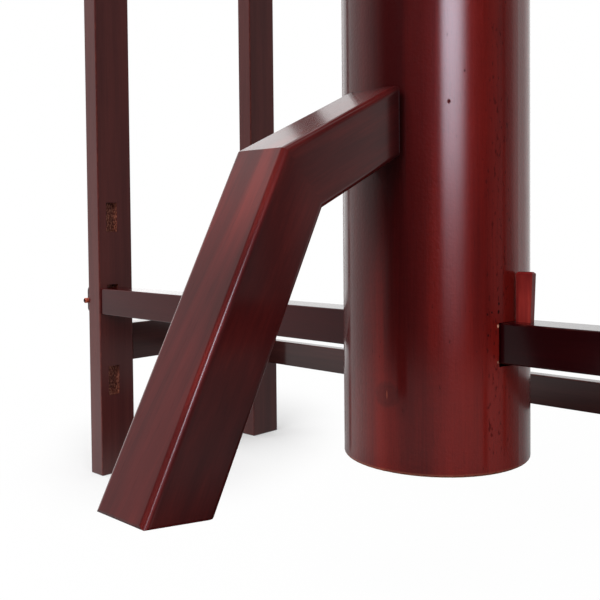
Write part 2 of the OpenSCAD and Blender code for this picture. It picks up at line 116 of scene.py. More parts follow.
class Mixer:
    """Adds nodes to one node tree and wires them from numbers or sockets."""

    def __init__(self, owner: Material | bpy.types.World) -> None:
        """Empties the owner's node tree.

        Args:
            owner: What the nodes are for.
        """
        owner.use_nodes = True
        self.owner, self.tree = owner, owner.node_tree
        self.tree.nodes.clear()

    def add(self, kind: str, *values: object, **settings: object) -> Node:
        """Adds a node with its settings and feeds its first inputs.

        Args:
            kind: The node's type, without its prefix.
            values: What feeds the inputs, in order.
            settings: The node's own properties.

        Returns:
            The new node.
        """
        node = self.tree.nodes.new(f"ShaderNode{kind}")
        for name, value in settings.items():
            setattr(node, name, value)
        return self.feed(node, dict(enumerate(values)))

    def feed(self, node: Node, values: dict) -> Node:
        """Links inputs of a node to sockets, or writes plain values on them.

        Args:
            node: The node.
            values: What feeds each input, by its number or name.

        Returns:
            The same node.
        """
        for key, value in values.items():
            if isinstance(value, Socket):
                self.tree.links.new(value, node.inputs[key])
            else:
                node.inputs[key].default_value = value
        return node

    def show(self, shader: Node, kind: str = "OutputMaterial") -> None:
        """Wires a shader to the tree's output."""
        self.add(kind, shader.outputs[0])

    def maths(self, operation: str, *values: Value, clamp: bool = False) -> Socket:
        """Works out one operation on numbers."""
        return self.add("Math", *values, operation=operation, use_clamp=clamp).outputs[0]

    def times(self, a: Value, b: Value) -> Socket:
        """Multiplies two numbers."""
        return self.maths("MULTIPLY", a, b)

    def vector(self, operation: str, *values: object) -> Socket:
        """Works out one operation on vectors."""
        node = self.add("VectorMath", *values, operation=operation)
        return node.outputs["Value" if operation in ("LENGTH", "DOT_PRODUCT") else "Vector"]

    def split(self, vector: Socket) -> tuple[Socket, ...]:
        """Takes a vector apart."""
        return tuple(self.add("SeparateXYZ", vector).outputs)

    def rise(self, value: Value, low: float, high: float, out: Pair = (0.0, 1.0)) -> Socket:
        """Eases from out's first number to its second as the value goes from low to high."""
        return self.add("MapRange", value, low, high, *out, interpolation_type="SMOOTHSTEP").outputs[0]

    def noise(self, vector: Socket, scale: float = 1.0, detail: float = 3.0, twist: float = 0.0) -> Socket:
        """Reads a soft random pattern, about 0.3 to 0.7."""
        values = {"Scale": scale, "Detail": detail, "Distortion": twist}
        return self.feed(self.add("TexNoise", vector), values).outputs[0]

    def blend(self, share: Value, a: object, b: object, mode: str = "MIX") -> Socket:
        """Mixes two colours or vectors by a share of the second."""
        node = self.add("Mix", share, data_type="RGBA", blend_type=mode)
        return self.feed(node, {6: a, 7: b}).outputs[2]

    def azimuth(self, places: Socket) -> Socket:
        """Gives the azimuth of places in degrees, from -180 to 180 with 0 at +X."""
        x, y, _ = self.split(places)
        return self.maths("DEGREES", self.maths("ARCTAN2", y, x))

    def ramp(self, value: Value, stops: list[tuple[float, Four]]) -> Socket:
        """Reads a colour from a row of stops.

        Args:
            value: Where to read, from 0 to 1.
            stops: Places from 0 to 1, each with its linear colour.

        Returns:
            The colour.
        """
        node = self.add("ValToRGB", value)
        row = node.color_ramp.elements
        row[0].position, row[0].color = stops[0]
        row[1].position, row[1].color = stops[-1]
        for place, colour in stops[1:-1]:
            row.new(place).color = colour
        return node.outputs[0]

    def grey_ramp(self, value: Socket, rows: Rows) -> Socket:
        """Reads a grey from rows.

        Args:
            value: Where to read.
            rows: Places, from first to last, each with its brightness.

        Returns:
            The grey.
        """
        first, last = rows[0][0], rows[-1][0]
        share = self.maths("DIVIDE", self.maths("SUBTRACT", value, first), last - first)
        return self.ramp(share, [((place - first) / (last - first), grey(light)) for place, light in rows])

    def seat(self, vector: Socket, origin: Triple, turn: Triple) -> Socket:
        """Reads places from an origin, in a frame turned by the given angles."""
        return self.add("Mapping", vector, origin, turn, vector_type="TEXTURE").outputs[0]


@dataclass(frozen=True)
class Grain:
    """Where a timber's grain starts and which way it runs."""

    origin: Triple
    run: Triple

    def places(self, mixer: Mixer, coords: Socket) -> Socket:
        """Reads places across and along the grain."""
        turn = Vector(self.run).to_track_quat("Z", "Y").to_euler()
        return mixer.seat(coords, self.origin, tuple(turn))


@dataclass(frozen=True)
class BentGrain:
    """Grain of a bent timber: one run before a plane and another after it."""

    before: Grain
    after: Grain
    bend: Triple
    normal: Triple
    fade: float = 0.002

    def places(self, mixer: Mixer, coords: Socket) -> Socket:
        """Reads places along the run on their side of the bend.

        Args:
            mixer: The material's mixer.
            coords: Where to read.

        Returns:
            Places across and along the grain.
        """
        past = mixer.vector("DOT_PRODUCT", mixer.vector("SUBTRACT", coords, self.bend), self.normal)
        share = mixer.rise(past, -self.fade, self.fade)
        return mixer.blend(share, self.before.places(mixer, coords), self.after.places(mixer, coords))


class Paint(Mixer):
    """A wood material while it is mixed, with what it has so far."""

    FIBRE_RUN = 45.0
    FIBRE_ROUGH = 0.16
    PORE_RUN = 16.0
    PORE_EDGE = (0.62, 0.72)
    PORE_ROUGH = 0.2
    PIT_SHARE = 0.3
    TONES = (0.22, 0.5, 0.8)
    RELIEF = 0.0006

    def __init__(self, finish: WoodFinish, grain: Grain | BentGrain, name: str) -> None:
        """Lays the streaks, fibres and pores of a finish along a grain.

        Args:
            finish: The stain and lacquer.
            grain: The run of the timber.
            name: Name of the material.
        """
        super().__init__(bpy.data.materials.new(name))
        self.finish = finish
        self.coords = self.add("TexCoord").outputs["Object"]
        self.normal = self.add("NewGeometry").outputs["Normal"]
        self.level = self.split(self.coords)[2]
        self.local = grain.places(self, self.coords)
        figure = self.noise(self.stretch(finish.streak, finish.streak_run), detail=4.0, twist=0.35)
        self.fibres = self.noise(self.stretch(finish.fibre, self.FIBRE_RUN), detail=2.0)
        grit = self.noise(self.stretch(finish.pore, self.PORE_RUN), detail=1.0)
        self.pores = self.rise(grit, *self.PORE_EDGE)
        self.tone = self.lean(figure, finish.contrast, 0.5)
        self.shift(self.lean(self.fibres, finish.fibre_gain))
        self.colour = None
        self.coat = finish.coat
        duller = self.times(self.pores, self.PORE_ROUGH)
        self.rough = self.maths("ADD", self.lean(self.fibres, self.FIBRE_ROUGH, finish.rough), duller)
        self.height = self.maths("SUBTRACT", self.times(self.fibres, 0.5), self.pores)
        if finish.peel:
            self.lift(self.noise(self.coords, 1.0 / finish.peel_size, 2.0), finish.peel)

    def off(self, origin: Triple) -> Socket:
        """Gives places as offsets from an origin."""
        return self.vector("SUBTRACT", self.coords, origin)

    def stretch(self, size: float, run: float) -> Socket:
        """Scales places so that a pattern has a size across the grain and is run times as long."""
        return self.vector("MULTIPLY", self.local, (1.0 / size, 1.0 / size, 1.0 / (size * run)))

    def lean(self, value: Socket, gain: float, middle: float = 0.0) -> Socket:
        """Makes a pattern that swings about a half swing about a middle, with a gain."""
        return self.maths("MULTIPLY_ADD", value, gain, middle - gain / 2.0)

    def ripple(self, scale: float, gain: float, detail: float = 2.0) -> Socket:
        """Gives a pattern that swings about zero."""
        return self.lean(self.noise(self.coords, scale, detail), gain)

    def shift(self, tone: Socket) -> None:
        """Adds to the tone."""
        self.tone = self.maths("ADD", self.tone, tone)

    def cover(self, share: Socket, shade: Shade) -> None:
        """Covers a share of the colour with a shade."""
        self.colour = self.blend(share, self.colour, stain(shade))

    def lift(self, pattern: Socket, gain: Value) -> None:
        """Raises the surface by a pattern times a gain."""
        self.height = self.maths("ADD", self.height, self.times(pattern, gain))

    def dull(self, share: Socket) -> None:
        """Takes a share of the lacquer away."""
        self.coat = self.times(self.coat, self.maths("SUBTRACT", 1.0, share))

    def stained(self) -> None:
        """Turns the tone into the finish's colours and darkens the pores."""
        finish = self.finish
        shades = (finish.dark, finish.middle, finish.light)
        self.colour = self.ramp(self.tone, [(tone, stain(shade)) for tone, shade in zip(self.TONES, shades)])
        pit = tuple(part * self.PIT_SHARE for part in stain(finish.dark)[:3]) + (1.0,)
        self.colour = self.blend(self.times(self.pores, finish.pore_depth), self.colour, pit)

    def close(self) -> Material:
        """Wires the shader with its lacquer coat.

        Returns:
            The finished material.
        """
        finish = self.finish
        relief = self.add("Bump", finish.bump, self.RELIEF)
        self.feed(relief, {"Height": self.height})
        values = {
            "Base Color": self.colour, "Roughness": self.rough, "Normal": relief.outputs[0],
            "Specular IOR Level": finish.lustre, "Coat Weight": self.coat,
            "Coat Roughness": finish.coat_rough, "Coat IOR": finish.coat_ior,
        }
        self.show(self.feed(self.add("BsdfPrincipled"), values))
        return self.owner


class Mark:
    """Something that stain, tools or use left on a timber."""

    def tone(self, paint: Paint) -> None:
        """Shifts the tone before it is coloured."""

    def colour(self, paint: Paint) -> None:
        """Colours over the stain and shapes the surface."""


@dataclass(frozen=True)
class Bands(Mark):
    """Upright bands of tone round a log, as pairs of azimuth and tone: heartwood figure with painted shade and
    painted light where the log is shaded or lit.
    """

    axis: Triple
    stops: Rows
    fade: Pair | None = None
    wander: float = 8.64
    sway: Pair = (1.0 / 60.0, 20.0)

    def tone(self, paint: Paint) -> None:
        """Adds the tone of the band at an azimuth that wanders; a fade ends the bands upwards.

        Args:
            paint: The material so far.
        """
        azimuth = paint.azimuth(paint.off(self.axis))
        sway = paint.lean(paint.noise(paint.stretch(*self.sway)), self.wander)
        band = paint.lean(paint.grey_ramp(paint.maths("ADD", azimuth, sway), self.stops), 1.0)
        if self.fade:
            band = paint.times(band, paint.rise(paint.level, *self.fade, (1.0, 0.0)))
        paint.shift(band)


@dataclass(frozen=True)
class Clouds(Mark):
    """Wide blotches where the stain took more or less."""

    size: float
    run: float
    gain: float

    def tone(self, paint: Paint) -> None:
        """Adds a broad soft pattern along the grain."""
        patch = paint.noise(paint.stretch(self.size, self.run), detail=2.0)
        paint.shift(paint.lean(patch, self.gain))


@dataclass(frozen=True)
class Fade(Mark):
    """Tone that changes along a straight timber, as pairs of place along it and tone; on the leg's shoulder and the
    keys' faces against the log it is painted shade.
    """

    run: Triple
    stops: Rows
    heights: Four | None = None

    def tone(self, paint: Paint) -> None:
        """Adds the tone of the place along the run, at all heights or between some.

        Args:
            paint: The material so far.
        """
        along = paint.vector("DOT_PRODUCT", paint.coords, self.run)
        tone = paint.lean(paint.grey_ramp(along, self.stops), 1.0)
        if self.heights:
            tone = paint.times(tone, paint.rise(paint.level, *self.heights[:2]))
            tone = paint.times(tone, paint.rise(paint.level, *self.heights[2:], (1.0, 0.0)))
        paint.shift(tone)


@dataclass(frozen=True)
class EasedEdges(Mark):
    """Rounded edges of a timber, known by their slope: a lighter, redder tone painted there stands in for the red
    glow beside the edge highlight, and the lacquer is thinner on part of the turn.
    """

    side: Triple
    above: Pair
    gain: float = 0.22
    above_share: float = 0.2
    edge_from: Pair = (0.1, 0.4)
    edge_to: Pair = (0.86, 0.99)
    thin: float = 0.92
    thin_from: Pair = (0.788, 0.806)
    thin_to: Pair = (0.9, 0.98)

    def tone(self, paint: Paint) -> None:
        """Adds a painted lighter tone where a face turns to the side, less above a height, and thins the lacquer.

        Args:
            paint: The material so far.
        """
        turned = paint.maths("ABSOLUTE", paint.vector("DOT_PRODUCT", paint.normal, self.side))
        before_side = paint.rise(turned, *self.edge_to, (1.0, 0.0))
        share = paint.times(paint.rise(turned, *self.edge_from), before_side)
        gain = paint.rise(paint.level, *self.above, (self.gain, self.above_share * self.gain))
        paint.shift(paint.times(share, gain))
        thin = paint.rise(turned, *self.thin_from, (0.0, self.thin))
        paint.dull(paint.times(thin, paint.rise(turned, *self.thin_to, (1.0, 0.0))))


@dataclass(frozen=True)
class Specks(Mark):
    """Small dark pits in the lacquer, gathered in patches, mostly on one side of a log."""

    axis: Triple
    azimuth: float
    spread: Pair = (4.8, 16.0)
    core_lift: float = 0.12
    size: float = 0.0034
    squash: float = 0.45
    patch: float = 0.05
    patch_edge: Pair = (0.45, 0.6)
    patch_lift: float = 0.03
    edge: Pair = (0.72, 0.86)
    shade: Shade = (40, 8, 9)
    share: float = 0.55
    dulling: float = 0.8
    depth: float = 1.5

    def colour(self, paint: Paint) -> None:
        """Darkens and sinks the peaks of a fine pattern where a wide one is high.

        Args:
            paint: The material so far.
        """
        flat = paint.vector("MULTIPLY", paint.coords, (1.0, 1.0, self.squash))
        fine = paint.noise(flat, 1.0 / self.size, 1.5)
        azimuth = paint.azimuth(paint.off(self.axis))
        away = paint.maths("ABSOLUTE", paint.maths("SUBTRACT", azimuth, self.azimuth))
        near = paint.rise(away, *self.spread, (self.core_lift, 0.0))
        wide = paint.noise(paint.coords, 1.0 / self.patch, 1.0)
        wide = paint.rise(wide, *self.patch_edge, (0.0, self.patch_lift))
        spot = paint.rise(paint.maths("ADD", fine, paint.maths("ADD", near, wide)), *self.edge)
        paint.cover(paint.times(spot, self.share), self.shade)
        paint.dull(paint.times(spot, self.dulling))
        paint.lift(spot, -self.depth)


@dataclass(frozen=True)
class WornEdges(Mark):
    """Rubbed edges of a straight timber that fills a box."""

    low: Triple
    high: Triple
    share: float
    reach: float = 0.0028
    shade: Shade = (118, 56, 46)
    patch_scale: float = 70.0
    patch_edge: Pair = (0.4, 0.62)

    def colour(self, paint: Paint) -> None:
        """Lightens where the second-nearest face of the box is close, broken up by a pattern.

        Args:
            paint: The material so far.
        """
        under = paint.vector("SUBTRACT", self.high, paint.coords)
        x, y, z = paint.split(paint.vector("MINIMUM", paint.off(self.low), under))
        least, most = paint.maths("MINIMUM", x, y), paint.maths("MAXIMUM", x, y)
        second = paint.maths("MAXIMUM", least, paint.maths("MINIMUM", most, z))
        edge = paint.rise(second, 0.0, self.reach, (self.share, 0.0))
        patchy = paint.rise(paint.noise(paint.coords, self.patch_scale), *self.patch_edge)
        paint.cover(paint.times(edge, patchy), self.shade)


@dataclass(frozen=True)
class EndGrain(Mark):
    """Sawn ends, darker and duller, with growth rings round a heart."""

    run: Triple
    heart: Triple
    ring: float
    dark: Shade = (48, 20, 18)
    light: Shade = (104, 50, 40)
    facing: Pair = (0.8, 0.95)
    wobble: Pair = (28.0, 0.02)
    grit: Pair = (900.0, 0.8)
    wave: Pair = (0.28, 0.36)
    tones: Pair = (0.2, 0.85)
    rougher: float = 0.2
    dulling: float = 0.85

    def colour(self, paint: Paint) -> None:
        """Paints rings on faces that look along the grain.

        Args:
            paint: The material so far.
        """
        along = paint.maths("ABSOLUTE", paint.vector("DOT_PRODUCT", paint.normal, self.run))
        end = paint.rise(along, *self.facing)
        flat = tuple(1.0 - abs(part) for part in self.run)
        spread = paint.vector("MULTIPLY", paint.off(self.heart), flat)
        radius = paint.maths("ADD", paint.vector("LENGTH", spread), paint.ripple(*self.wobble, 3.0))
        wave = paint.maths("SINE", paint.times(radius, math.tau / self.ring))
        tone = paint.maths("ADD", paint.lean(wave, *self.wave), paint.ripple(*self.grit))
        rings = paint.ramp(tone, list(zip(self.tones, (stain(self.dark), stain(self.light)))))
        paint.colour = paint.blend(end, paint.colour, rings)
        paint.rough = paint.maths("ADD", paint.rough, paint.times(end, self.rougher))
        paint.dull(paint.times(end, self.dulling))


@dataclass(frozen=True)
class Knot(Mark):
    """A closed knot: dark rim rings round a heart with one bright streak."""

    centre: Triple
    radii: Triple
    rim: Shade = (40, 10, 11)
    heart: Shade = (64, 18, 17)
    streak: Shade = (150, 66, 44)
    share: float = 0.38
    ripple: Pair = (160.0, 0.5)
    edge: Pair = (0.8, 1.15)
    ring_rate: float = 17.0
    relief: float = 0.8
    streak_size: Pair = (0.06, 0.42)
    streak_edge: Pair = (0.4, 1.0)
    streak_share: float = 0.8

    def colour(self, paint: Paint) -> None:
        """Paints rings of growing radius inside an ellipsoid, then the streak along its middle.

        Args:
            paint: The material so far.
        """
        offset = paint.off(self.centre)
        scaled = paint.vector("DIVIDE", offset, self.radii)
        radius = paint.maths("ADD", paint.vector("LENGTH", scaled), paint.ripple(*self.ripple))
        inside = paint.rise(radius, *self.edge, (self.share, 0.0))
        rings = paint.lean(paint.maths("SINE", paint.times(radius, self.ring_rate)), 0.5, 0.5)
        shade = paint.blend(rings, stain(self.rim), stain(self.heart))
        paint.colour = paint.blend(inside, paint.colour, shade)
        wide, tall = self.streak_size
        thin = paint.vector("DIVIDE", offset, (self.radii[0] * wide, 1.0, self.radii[2] * tall))
        bright = paint.rise(paint.vector("LENGTH", thin), *self.streak_edge, (self.streak_share, 0.0))
        paint.cover(bright, self.streak)
        paint.lift(inside, paint.times(rings, self.relief))


@dataclass(frozen=True)
class Nick(Mark):
    """A small dent or chip with a soft rim."""

    centre: Triple
    size: float
    shade: Shade
    depth: float = 3.0
    tall: float = 1.4
    ripple: Pair = (420.0, 0.7)
    edge: Pair = (0.55, 1.0)

    def colour(self, paint: Paint) -> None:
        """Paints and sinks a spot round a point.

        Args:
            paint: The material so far.
        """
        radii = (self.size, self.size, self.size * self.tall)
        offset = paint.vector("DIVIDE", paint.off(self.centre), radii)
        radius = paint.maths("ADD", paint.vector("LENGTH", offset), paint.ripple(*self.ripple, 1.0))
        spot = paint.rise(radius, *self.edge, (1.0, 0.0))
        paint.cover(spot, self.shade)
        paint.dull(spot)
        paint.lift(spot, -self.depth)


@dataclass(frozen=True)
class RimLine(Mark):
    """A thin lighter line at a height, where an end edge turns."""

    height_z: float
    reach: float
    shade: Shade
    share: float = 0.75

    def colour(self, paint: Paint) -> None:
        """Lightens a band round one height."""
        away = paint.maths("ABSOLUTE", paint.maths("SUBTRACT", paint.level, self.height_z))
        paint.cover(paint.rise(away, 0.0, self.reach, (self.share, 0.0)), self.shade)


@dataclass(frozen=True)
class Turned(Mark):
    """Fine rings that a lathe leaves round an arm."""

    pitch: float = 0.0016
    depth: float = 0.25

    def colour(self, paint: Paint) -> None:
        """Adds a shallow wave along the grain to the height."""
        turn = paint.times(paint.split(paint.local)[2], math.tau / self.pitch)
        paint.lift(paint.maths("SINE", turn), self.depth)


def mix_wood(finish: WoodFinish, grain: Grain | BentGrain, name: str, marks: tuple[Mark, ...] = ()) -> Material:
    """Mixes one wood material.

    Args:
        finish: The stain and lacquer.
        grain: The run of the timber.
        name: Name of the material.
        marks: What stain, tools and use left on it.

    Returns:
        The finished material.
    """
    paint = Paint(finish, grain, name)
    for mark in marks:
        mark.tone(paint)
    paint.stained()
    for mark in marks:
        mark.colour(paint)
    return paint.close()


def dress(node: str, material: Material) -> None:
    """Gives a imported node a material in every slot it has.

    Args:
        node: Name of the node.
        material: Its material.
    """
    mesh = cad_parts[node].data
    if not mesh.materials:
        mesh.materials.append(material)
    for place in range(len(mesh.materials)):
        mesh.materials[place] = material
    log.info("dressed %s in %s", node, material.name)


def box_of(node: str) -> tuple[Triple, Triple]:
    """Gives a node's lowest and highest corners as plain numbers."""
    low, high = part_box(node)
    return tuple(low), tuple(high)


def middle_of(node: str) -> Triple:
    """Gives the middle of a node's box."""
    low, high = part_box(node)
    return tuple((low + high) / 2.0)


def dress_straight(node: str, finish: WoodFinish, run: Triple, *marks: Mark) -> None:
    """Stains one straight piece along its run."""
    dress(node, mix_wood(finish, Grain(middle_of(node), run), f"{node}_stain", marks))


def dress_timber(node: str, finish: WoodFinish, run: Run, *more: Mark) -> None:
    """Stains one straight timber, with blotches, sawn ends and rubbed edges.

    Args:
        node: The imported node.
        finish: Its stain.
        run: The way its grain runs.
        more: Marks of this timber alone.
    """
    ends = EndGrain(run.value, middle_of(node), finish.ring)
    edges = WornEdges(*box_of(node), finish.worn)
    dress_straight(node, finish, run.value, Clouds(*finish.clouds), ends, edges, *more)


TRUNK_RED = WoodFinish(
    (51, 8, 9), (82, 14, 13), (127, 25, 18), streak=0.014, streak_run=40.0, contrast=0.16,
    fibre_gain=0.12, pore_depth=0.18, coat_rough=0.14, coat_ior=1.38, peel=6.0, peel_size=0.0034,
)
LEG_RED = WoodFinish(
    (52, 11, 12), (76, 19, 19), (106, 30, 27), streak=0.016, streak_run=14.0, contrast=0.6,
    fibre_gain=0.2, pore_depth=0.1, coat_rough=0.13, coat_ior=1.36, bump=0.04, peel=0.5,
)
SLAT_RED = WoodFinish(
    (30, 1, 3), (52, 7, 9), (74, 16, 17), contrast=0.15, fibre_gain=0.1,
    pore_depth=0.06, coat_rough=0.12, coat_ior=1.36, bump=0.04,
)
FRAME_RED = WoodFinish(
    (64, 27, 26), (81, 36, 35), (98, 45, 42), streak=0.013, rough=0.5,
    coat_rough=0.16, coat_ior=1.41, bump=0.05, clouds=(0.08, 6.0, 0.5), ring=0.004, worn=0.45,
)
RAIL_BROWN = WoodFinish(
    (46, 22, 22), (58, 30, 29), (72, 38, 36), coat_rough=0.14, coat_ior=1.42, bump=0.05,
    clouds=(0.08, 6.0, 0.5), ring=0.004, worn=0.45,
)
KEY_RED = WoodFinish(
    (104, 24, 23), (134, 40, 36), (160, 58, 49), streak=0.006, streak_run=14.0, contrast=0.6,
    coat=0.3, coat_rough=0.3, bump=0.06,
)
PEG_RED = WoodFinish(
    (140, 56, 40), (178, 82, 60), (200, 108, 78), streak=0.003, streak_run=10.0, contrast=1.0,
    fibre=0.001, pore_depth=0.5, rough=0.5, coat=0.4, coat_rough=0.2,
)
RAW_BROWN = WoodFinish(
    (58, 20, 15), (112, 53, 41), (178, 114, 92), streak=0.0022, streak_run=1.8, contrast=2.2,
    fibre=0.0009, pore_depth=0.8, rough=0.75, lustre=0.15, coat=0.0, bump=0.8,
)


@dataclass
class Trunk:
    """The log: bands of tone by azimuth, heartwood with painted shade and painted light in them, a knot, nicks by
    azimuth, height and size, and lighter lines at the end edges.
    """

    node: str = "trunk"
    radius: float = 0.110
    ring: float = 0.0055
    knot: Pair = (-84.5, 0.249)
    knot_radii: Triple = (0.0155, 0.012, 0.0145)
    speck_azimuth: float = -17.0
    foot_rim: tuple[float, Shade] = (0.0045, (186, 118, 94))
    head_rim: tuple[float, Shade] = (0.003, (142, 84, 66))
    # Tone by azimuth: heartwood bands, with painted shade near -82 degrees beside the thigh and painted light on the
    # log's right side from 10 to 28 degrees.
    bands: Rows = (
        (-180, 0.45), (-150, 0.58), (-128, 0.34), (-104, 0.3), (-94, 0.285), (-88, 0.26), (-82.5, 0.15), (-77, 0.21),
        (-68, 0.36), (-62, 0.42), (-57, 0.5), (-50, 0.58), (-40, 0.62), (-30, 0.63), (-22, 0.64), (-12, 0.65),
        (-6, 0.66), (4, 0.66), (10, 0.74), (17, 0.9), (28, 0.95), (44, 0.7), (62, 0.42), (88, 0.3), (110, 0.6),
        (128, 0.7), (150, 0.4), (180, 0.45),
    )
    # Painted light low on the log's front, from -100 to -88 degrees, where floor bounce lights it; the tone fades
    # out upwards.
    shin_bands_with_painted_light: Rows = (
        (-180, 0.55), (-128, 0.6), (-106, 0.63), (-100, 0.72), (-94, 0.76), (-88, 0.82), (-82.5, 0.68), (-77, 0.58),
        (-70, 0.54), (-62, 0.56), (-57, 0.62), (-52, 0.54), (-45, 0.58), (-38, 0.56), (-34, 0.5), (-26, 0.46),
        (-20, 0.48), (-10, 0.5), (-2, 0.58), (10, 0.56), (60, 0.55), (180, 0.55),
    )
    shin_fade: Pair = (0.34, 0.56)
    # Painted light near the log's foot, around -82 degrees, where floor bounce lights it.
    foot_bands_with_painted_light: Rows = (
        (-180, 0.6), (-128, 0.62), (-106, 0.66), (-94, 0.6), (-88, 0.7), (-82.5, 0.86), (-77, 0.8), (-72, 0.66),
        (-67, 0.57), (-62, 0.58), (-57, 0.48), (-52, 0.55), (-45, 0.54), (-38, 0.56), (-34, 0.6), (-30, 0.65),
        (-26, 0.68), (-20, 0.71), (-8, 0.72), (4, 0.7), (10, 0.62), (60, 0.6), (180, 0.6),
    )
    foot_fade: Pair = (0.2, 0.36)
    nicks: tuple[tuple[Shade, tuple[Triple, ...]], ...] = (
        ((70, 14, 16), ((-47.8, 0.566, 0.0024), (-39.0, 0.598, 0.0013))),
        ((40, 8, 10), (
            (-17.5, 0.349, 0.0016), (-17.8, 0.34, 0.0018), (-25.5, 0.338, 0.0013), (-22.5, 0.34, 0.0012),
            (-25.0, 0.3155, 0.0014),
        )),
        ((206, 150, 124), ((-18.2, 0.3248, 0.0016), (-18.2, 0.2854, 0.0013))),
    )

    def at(self, azimuth: float, height: float) -> Triple:
        """Gives the point of the log's face at an azimuth in degrees and a height."""
        (x, y, _), turn = middle_of(self.node), math.radians(azimuth)
        return (x + self.radius * math.cos(turn), y + self.radius * math.sin(turn), height)

    def dress(self) -> None:
        """Stains the log."""
        low, high = box_of(self.node)
        axis = middle_of(self.node)[:2] + (0.0,)
        marks = (
            Bands(axis, self.bands),
            Bands(axis, self.shin_bands_with_painted_light, self.shin_fade),
            Bands(axis, self.foot_bands_with_painted_light, self.foot_fade),
            Clouds(0.05, 4.0, 0.22),
            Clouds(0.02, 0.3, 0.05),
            EndGrain(Run.UPRIGHT.value, axis, self.ring),
            Knot(self.at(*self.knot), self.knot_radii),
            *(Nick(self.at(turn, height), size, shade) for shade, rows in self.nicks for turn, height, size in rows),
            RimLine(low[2], *self.foot_rim),
            RimLine(high[2], *self.head_rim),
            Specks(axis, self.speck_azimuth),
        )
        dress(self.node, mix_wood(TRUNK_RED, Grain(axis, Run.UPRIGHT.value), "trunk_stain", marks))


@dataclass
class Leg:
    """The bent leg: grain that turns at the knee, with blotchy strips down the shin and painted shade at the
    shoulder against the log.
    """

    node: str = "leg"
    knee: Triple = (0.0, -0.2330, 0.4803)
    thigh_slope: float = 24.0
    shin_slope: float = 62.0
    drift: float = 0.10
    depths: Rows = (
        (0.15, 0.47), (0.22, 0.46), (0.28, 0.46), (0.33, 0.5), (0.38, 0.4), (0.41, 0.44), (0.45, 0.55), (0.49, 0.56),
        (0.52, 0.5), (0.75, 0.5),
    )
    # Painted shade: the thigh darkens over its last few centimetres towards the shoulder against the log.
    shoulder_painted_shade: Rows = ((-0.45, 0.5), (-0.14, 0.5), (-0.106, 0.4), (-0.094, 0.2), (-0.084, 0.08), (0.2, 0.3))
    strokes: Rows = (
        (-0.036, 0.4), (-0.028, 0.42), (-0.022, 0.48), (-0.015, 0.5), (-0.01, 0.42), (-0.001, 0.4), (0.003, 0.46),
        (0.007, 0.66), (0.017, 0.69), (0.021, 0.55), (0.025, 0.5), (0.036, 0.5),
    )
    stroke_heights: Four = (0.37, 0.5, 0.52, 0.53)
    knee_heights: Pair = (0.46, 0.5)
    peg_ring: float = 0.002

    def along(self, slope: float, drift: float = 0.0) -> Triple:
        """Gives the direction that many degrees below the front, drifting sideways."""
        turn = math.radians(slope)
        return tuple(Vector((drift, -math.cos(turn), -math.sin(turn))).normalized())

    def dress(self) -> None:
        """Stains the leg and its peg."""
        grain = BentGrain(
            Grain(self.knee, self.along(self.thigh_slope)),
            Grain(self.knee, self.along(self.shin_slope, -self.drift)),
            self.knee,
            self.along((self.thigh_slope + self.shin_slope) / 2.0),
        )
        marks = (
            Clouds(0.05, 2.5, 0.4),
            Fade(Run.UPRIGHT.value, self.depths),
            Fade(Run.DEEP.value, self.shoulder_painted_shade),
            Fade(Run.ACROSS.value, self.strokes, self.stroke_heights),
            # Painted glow on the leg's rounded edges, with thinner lacquer on part of their turn.
            EasedEdges(Run.ACROSS.value, self.knee_heights),
        )
        dress(self.node, mix_wood(LEG_RED, grain, "leg_stain", marks))
        run = Run.ACROSS.value
        dress_straight("leg_pin", PEG_RED, run, EndGrain(run, middle_of("leg_pin"), self.peg_ring))


@dataclass
class Arms:
    """The three turned arms and the lock pins through their tenons."""

    spread: float = 15.0

    def dress(self) -> None:
        """Stains each arm along its own axis and each pin along its own length."""
        for name, side in (("upper_arm_right", 1.0), ("upper_arm_left", -1.0), ("middle_arm", 0.0)):
            turn = math.radians(side * self.spread)
            run = (math.sin(turn), -math.cos(turn), 0.0)
            dress_straight(name, LEG_RED, run, Turned(), Clouds(0.04, 4.0, 0.5))
        for name in ("upper_arm_pin_right", "upper_arm_pin_left", "middle_arm_pin"):
            dress_straight(name, PEG_RED, Run.UPRIGHT.value)


@dataclass
class Slats:
    """The two slats with their wedge keys and pegs."""

    levels: tuple[str, str] = ("lower", "upper")
    # The slats' tone darkens towards their right end.
    darker_rightwards: Rows = ((-0.74, 0.55), (-0.3, 0.5), (0.1, 0.22), (0.74, 0.3))
    key_head: Rows = ((0.0, 0.0), (0.004, 0.26), (0.018, 0.34), (0.03, 0.48))
    # Painted shade: a dark line a few millimetres wide on each key's face against the log, where the gap is in
    # shadow.
    key_gap_shade: Rows = ((0.0, 0.0), (0.0022, 0.04), (0.0036, 0.5))

    def dress(self) -> None:
        """Stains slats, keys with a painted dark line of gap shade against the log, and pegs, each along its own
        run.
        """
        for level in self.levels:
            dress_timber(f"{level}_slat", SLAT_RED, Run.ACROSS, Fade(Run.ACROSS.value, self.darker_rightwards))
            for side in ("right", "left"):
                low, high = box_of(f"{level}_key_{side}")
                inner, outer = (low[0], high[0]) if side == "right" else (high[0], low[0])
                head = Fade(Run.UPRIGHT.value, self.inwards(high[2], low[2], self.key_head))
                gap_shade = Fade(Run.ACROSS.value, self.inwards(inner, outer, self.key_gap_shade))
                dress_timber(f"{level}_key_{side}", KEY_RED, Run.UPRIGHT, head, gap_shade)
                dress_timber(f"{level}_slat_peg_{side}", PEG_RED, Run.DEEP)

    def inwards(self, near: float, far: float, rows: Rows) -> Rows:
        """Turns depths under a near face into places, up to a middle tone at the far face."""
        way = math.copysign(1.0, far - near)
        return tuple((near + way * depth, tone) for depth, tone in rows) + ((far, 0.5),)


